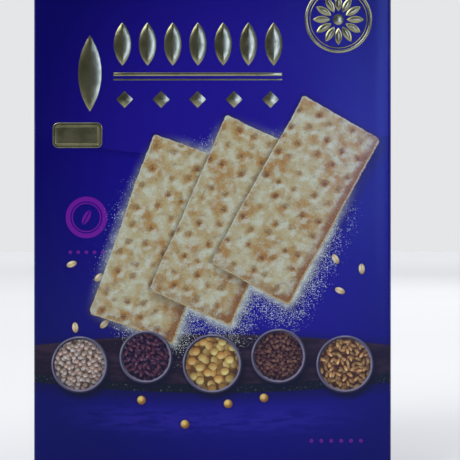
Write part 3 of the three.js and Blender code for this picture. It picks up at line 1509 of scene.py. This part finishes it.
@dataclass
class Stamping:
    """Gold foil stamped on the front: every shape stands a little proud, with sloping shoulders."""

    size: CartonSize
    swelling: Swelling
    foil: bpy.types.Material
    sunk: float = 0.06  # how far a stamping reaches into the board
    relief: float = 0.24  # how far it stands out of it
    petals: int = 12
    arc_steps: int = 14  # edges along each side of a kernel
    rule_cell: float = 6  # the length of one face along a rule
    hoop_sides: int = 12  # round a hoop's section
    hoop_steps: int = 72  # round the hoop itself
    tag_corner: float = 2.4
    tag_corner_steps: int = 6

    # a kernel's steps: each one's rise as a share of the relief, and its factors along X and Z
    DOME = ((0.5, (0.88, 0.95)), (0.65, (0.72, 0.88)), (0.45, (0.55, 0.82)), (0.15, (0.25, 0.7)))
    # a medallion's hoops: how far each lies inside its edge, and half its width
    HOOPS = ((0.7, 0.7), (2.3, 0.3))
    # a tag's steps: each one's width, and its rise as a share of the relief
    FRAME = ((0.2, 0.5), (1.0, 0.0), (0.22, -0.6), (0.35, 0.0), (0.22, 0.6))

    def _at(self, place: Pair) -> Point:
        """A place on the front, along X and Z, as the point just inside its face where stampings start."""
        return (place[0], self.sunk - self.size.half_depth, place[1])

    def _raise(self, work: Workpiece, *insets: Pair) -> Workpiece:
        """Raises a flat face into a stamping's block and shapes its top, which stays picked.

        Args:
            work: The face.
            insets: Each step's width, and its rise as a share of the relief.

        Returns:
            The stamping.
        """
        block = self.sunk + self.relief / 2
        top = self._at((0, 0))[1] - block
        work.pick(Pick.FACES)
        work.push((0, -block, 0))
        bpy.ops.mesh.select_all(action="SELECT")
        bpy.ops.mesh.normals_make_consistent(inside=False)
        work.pick(Pick.FACES, lambda p: abs(p.y - top) < NEAR)
        for width, rise in insets:
            work.inset(width, rise * self.relief)
        return work

    def kernel(self, place: Pair, half: Pair) -> Workpiece:
        """Models one pointed oval that rises in steps to a narrow flat.

        Args:
            place: Its middle.
            half: Its half width and half height.

        Returns:
            The stamping.
        """
        work = self._raise(Workpiece.lens("stamping", self._at(place), half, self.arc_steps))
        for rise, factors in self.DOME:
            work.push((0, -rise * self.relief, 0))
            work.narrow(self._at(place), factors)
        return work

    def rule(self, place: Pair, length: float, half_height: float) -> Workpiece:
        """Models one long thin rule.

        Args:
            place: Its middle.
            length: Its length.
            half_height: Half its height.

        Returns:
            The stamping.
        """
        cells = (round(length / self.rule_cell), 1)
        return self._raise(Workpiece.sheet("stamping", self._at(place), (length, 2 * half_height), cells),
                           (half_height * 0.45, 0.5))

    def diamond(self, place: Pair, half: float) -> Workpiece:
        """Models one four-sided stamping that rises to a blunt point."""
        return self._raise(Workpiece.disc("stamping", self._at(place), half, 4), (half * 0.12, 0.5),
                           (half * 0.5, 0.9))

    def hoop(self, place: Pair, radius: float, half_width: float) -> Workpiece:
        """Models one round hoop by spinning its flattened section.

        Args:
            place: Its middle.
            radius: From its middle to the middle of its section.
            half_width: Half the section's width.

        Returns:
            The stamping.
        """
        section = (half_width, self.sunk + self.relief * 1.3)
        work = Workpiece.start("stamping", bpy.ops.mesh.primitive_circle_add,
                               self._at((place[0] + radius, place[1])), section, radius=1.0,
                               vertices=self.hoop_sides, fill_type="NOTHING")
        work.pick(Pick.EDGES)
        bpy.ops.mesh.spin(steps=self.hoop_steps, dupli=False, angle=math.tau, use_auto_merge=True,
                          center=metres(self._at(place)), axis=(0, 1, 0))
        work.weld()
        bpy.ops.mesh.normals_make_consistent(inside=False)
        return work

    def _joined(self, name: str, *works: Workpiece) -> None:
        """Joins stampings into one piece, bends it with the panel and finishes it.

        Args:
            name: The piece's name.
            works: The stampings.
        """
        works[0].hold()
        for work in works[1:]:
            work.thing.select_set(True)
        if len(works) > 1:
            bpy.ops.object.join()
        piece = Workpiece(works[0].thing, name)
        self.swelling.press(piece)
        piece.dress(self.foil)
        piece.finish(smooth=25)

    def _row(self, name: str, first: Workpiece, count: int, pitch: float) -> None:
        """Repeats a stamping to the right, as one piece."""
        moves = [Matrix.Translation((i * pitch * MM, 0, 0)) for i in range(1, count)]
        self._joined(name, *first.copies(moves))

    def title(self) -> None:
        """Stamps the title's place: a row of kernels, a double rule and a row of diamonds."""
        self._row("foil_kernels", self.kernel((-40.0, 196.0), (3.9, 9.6)), 7, 11.2)
        self._joined("foil_tall_kernel", self.kernel((-54.5, 183.0), (5.2, 17.0)))
        self._joined("foil_rules", self.rule((-6.5, 182.6), 75, 0.75), self.rule((-6.5, 180.2), 75, 0.3))
        self._row("foil_diamonds", self.diamond((-39.0, 171.4), 3.8), 5, 16.2)

    def medallion(self, place: Pair, radius: float) -> None:
        """Stamps a ring with a rosette in it.

        Args:
            place: Its middle.
            radius: Its outer radius.
        """
        x, z = place
        petal = self.kernel((x, z + radius * 0.50), (radius * 0.105, radius * 0.26))
        centre = Matrix.Translation(metres((x, 0, z)))
        turns = [centre @ Matrix.Rotation(math.tau * i / self.petals, 4, "Y") @ centre.inverted()
                 for i in range(1, self.petals)]
        petals = petal.copies(turns)
        boss = self._raise(Workpiece.disc("stamping", self._at(place), radius * 0.16, 24),
                           (radius * 0.04, 0.5), (radius * 0.06, 0.5))
        self._joined("foil_rosette", *petals, boss)
        self._joined("foil_hoops", *(self.hoop(place, radius - inside, half_width)
                                     for inside, half_width in self.HOOPS))

    def tag(self, place: Pair, half: Pair) -> None:
        """Stamps a plain tag with round corners and a sunk line inside its edge.

        Args:
            place: Its middle.
            half: Its half width and half height.
        """
        work = Workpiece.sheet("stamping", self._at(place), (2 * half[0], 2 * half[1]), (1, 1))
        work.pick(Pick.CORNERS)
        bpy.ops.mesh.bevel(offset=self.tag_corner * MM, segments=self.tag_corner_steps, affect="VERTICES")
        self._joined("foil_tag", self._raise(work, *self.FRAME))


@dataclass
class Studio:
    """A pale floor, soft studio light, and a camera square on to the front."""

    size: CartonSize
    distance: float = 550.0
    view_width: float = 204.2
    aim: Pair = (7.8, 113.4)
    dim: float = 0.05  # the room behind the camera, which the front mirrors
    bright: float = 0.80  # the rest of the room
    overhead: float = 0.50  # more light from above
    wall: Tint = (0.98, 0.99, 1.0)
    floor_radius: float = 6.0  # in metres
    floor_sides: int = 96
    window: float = 10.5  # the window's brightness
    window_place: Point = (0.215, -0.96, 0.12)  # its direction
    window_reach: Point = (0.085, 1.0, 0.32)
    pane: Tint = (0.43, 0.53, 1.0)

    def _floor_paint_with_painted_light(self) -> bpy.types.Material:
        """Mixes the floor's pale matt paint, with painted light that brightens it far out to meet the wall.

        Returns:
            The material.
        """
        press = Press("studio_floor")
        paint = Coat(press, tint(203, 204, 207))
        paint.lay(tint(211, 212, 214), press.place.noise(400.0, detail=2))
        # painted light: lighter far out, so that the floor meets the pale wall without a horizon
        paint.lay(tint(237, 238, 240), press.place.from_middle().step(600, 4500))
        press.set(base_color=paint, roughness=0.7, specular_ior_level=0.2)
        return press.material

    def floor(self) -> None:
        """Lays a round floor under the carton."""
        clear_bench()
        bpy.ops.mesh.primitive_circle_add(vertices=self.floor_sides, radius=self.floor_radius,
                                          fill_type="NGON")
        ground = bpy.context.active_object
        ground.name = "studio_floor"
        ground.data.materials.append(self._floor_paint_with_painted_light())

    def _softbox(self, name: str, place: Point, size: Pair, watts: float) -> None:
        """Hangs one soft light that points at the carton's middle.

        Args:
            name: Its name.
            place: Its place, in metres.
            size: Its width and height, in metres.
            watts: Its power.
        """
        light = bpy.data.lights.new(name, "AREA")
        light.shape = "RECTANGLE"
        light.size, light.size_y = size
        light.energy = watts
        lamp = bpy.data.objects.new(name, light)
        bpy.context.scene.collection.objects.link(lamp)
        lamp.location = place
        aim = Vector((0, 0, self.size.height / 2 * MM))
        lamp.rotation_euler = (aim - Vector(place)).to_track_quat("-Z", "Y").to_euler()
        lamp.visible_camera = False

    def lights(self) -> None:
        """Hangs the lights: a broad one at the upper left, a fill and one behind."""
        self._softbox("key", (-1.1, -1.2, 1.5), (1.2, 1.2), 25)
        self._softbox("fill", (1.5, -0.9, 0.9), (1.0, 1.0), 6)
        self._softbox("rear", (0.6, 1.6, 1.4), (1.4, 1.0), 12)

    def surroundings(self) -> None:
        """Makes the room: a pale wall that lights less from the front, with a tall cool window in it."""
        world = bpy.data.worlds.new("studio_room")
        bpy.context.scene.world = world
        world.use_nodes = True
        room = Tree(world.node_tree)
        way = Spot(room, room.add("TexCoord", {}).outputs["Generated"])
        seen = Amount(room, room.add("LightPath", {}).outputs["Is Camera Ray"])
        lit = way.y.step(-0.90, -0.15) * (self.bright - self.dim) + self.dim
        lit = lit + way.z.step(0.30, 1.0) * self.overhead
        towards = way.through("Mapping", {"Location": self.window_place, "Scale": self.window_reach},
                              vector_type="TEXTURE")
        glow = towards.from_middle().step(1.0, 0.5) * self.window
        # the camera sees a wall of one pale grey all round, and no window
        wall, pane = (
            room.add("Background", {"Color": colour, "Strength": strength}).outputs[0]
            for colour, strength in ((self.wall, room.blend(lit, self.bright, seen)),
                                     (self.pane, glow * (1.0 - seen))))
        room.add("OutputWorld", {"Surface": room.add("AddShader", {0: wall, 1: pane}).outputs[0]})

    def camera(self) -> None:
        """Sets the camera square on to the front, as close as the photo's framing."""
        lens = bpy.data.cameras.new("camera")
        lens.sensor_width = 36
        lens.lens = lens.sensor_width * self.distance / self.view_width
        eye = bpy.data.objects.new("camera", lens)
        bpy.context.scene.collection.objects.link(eye)
        eye.location = metres((self.aim[0], -(self.size.depth / 2 + self.distance), self.aim[1]))
        eye.rotation_euler = (math.pi / 2, 0, 0)
        bpy.context.scene.camera = eye
        bpy.context.scene.view_settings.view_transform = "Standard"


def artworks() -> list[Artwork]:
    """The print of each side.

    Returns:
        The six sides' artwork.
    """
    grains = (
        Grain(2.3, 1.25, tint(88, 72, 60), tint(160, 145, 128), tint(206, 206, 205),
              odd=tint(172, 136, 114), room=1.1),
        Grain(2.9, 2.3, tint(30, 14, 32), tint(72, 40, 62), tint(126, 90, 110), odd=tint(92, 44, 52)),
        Grain(4.0, 1.0, tint(106, 74, 32), tint(184, 156, 86), tint(218, 210, 138),
              odd=tint(186, 138, 68), room=1.3),
        Grain(2.1, 1.5, tint(30, 15, 16), tint(72, 40, 36), tint(120, 80, 68), odd=tint(118, 84, 66)),
        Grain(3.3, 2.4, tint(78, 48, 24), tint(174, 128, 76), tint(218, 186, 128), odd=tint(150, 124, 72)),
    )
    foil_like, paper = tint(138, 134, 112), tint(205, 206, 214)
    front = Artwork(Side.FRONT, (16, 114), (
        Valance(146, 10, glow=(20, 150, 112)),
        Ring(-56, 119, 9.3),
        Marks(-56, 103.5, 5, 3.6, 0.8),
        Seeds((56, 90), 19, pitch=13, crease=0.7),
        Seeds((-55, 84), 17, pitch=13, crease=0.7),
        Band(67, 41),
        CrackerRow(((-22, 110, -20), (7, 118, -24), (37, 127, -29))),
        DishRow(grains, 29.5, 54.5, (-1.0, 2.4, -0.6, 2.8, -0.8), (12.6, 11.8, 13.2, 12.2, 12.8)),
        Seeds((0, 32), 74, squash=0.12, pitch=16, share=0.75, length=1.9, slim=1.0,
              shade=tint(120, 80, 30), light=tint(214, 186, 104)),
        Marks(55, 19.7, 6, 4.4, 0.85),
    ))
    back = Artwork(Side.BACK, (0, 150), (
        Valance(146, 10),
        Ring(0, 198, 14),
        Marks(0, 173, 9, 8.0, 1.6, Mark.DIAMOND, foil_like),
        Plate(-36, 107, 34, 31, strength=0.8, ruled=6.2),
        Plate(42, 121, 28, 17, strength=0.8, ruled=4.8),
        Plate(42, 86, 22, 10, paper),
        Band(67, 41),
        DishRow((grains[3], grains[0], grains[1]), 46, 54.5, (0.8, -0.9, 0.5), (11.8, 12.8, 12.1)),
        Marks(0, 19.7, 9, 4.4, 0.85),
    ))
    sides = [
        Artwork(side, (0, 150), (
            Valance(156, 0),
            Ring(0, 196, 9.3),
            Marks(0, 176, 5, 8.0, 1.6, Mark.DIAMOND, foil_like),
            Plate(0, 110, 21, 34, strength=0.8, ruled=6.8),
            Band(62, 46, bow=0),
            DishRow((grain,), 60, 54, (0.0,), (11.4,)),
            Marks(0, 19.7, 5, 4.4, 0.85),
        ))
        for side, grain in ((Side.LEFT, grains[4]), (Side.RIGHT, grains[0]))
    ]
    top = Artwork(Side.TOP, (0, 0), (
        Ring(0, 0, 9.3), *(Marks(x, 0, 5, 9.6, 1.6, Mark.DIAMOND) for x in (-46, 46))))
    bottom = Artwork(Side.BOTTOM, (0, 0), (Plate(48, -4, 20, 12, paper),))
    return [front, back, *sides, top, bottom]


def main() -> None:
    """Builds the carton, its stampings and the studio."""
    logging.basicConfig(level=logging.INFO, format="%(name)s: %(message)s")
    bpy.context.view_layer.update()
    size = CartonSize.of_node(NODE)
    studio = Studio(size)
    studio.camera()
    studio.surroundings()
    studio.lights()
    studio.floor()

    board = PrintedBoard(size)
    raw = RawBoard().make()
    finishes = {art.side: (board.make(art), raw) for art in artworks()}
    swelling = Swelling(size, seed=11)
    sleeve = Sleeve(size, swelling, finishes)
    sleeve.front()
    sleeve.back()
    sleeve.side(Side.LEFT)
    sleeve.side(Side.RIGHT)
    for side, lift in ((Side.TOP, 0.35), (Side.BOTTOM, 0.0)):
        closure = Closure(size, side, finishes[side], lift)
        closure.outer()
        closure.inner()

    stamping = Stamping(size, swelling, GoldFoil().make())
    stamping.title()
    stamping.medallion((56, 207), 15)
    stamping.tag((-60, 155.5), (11, 5.6))
    swelling.put_away()


if __name__ == "__main__":
    main()
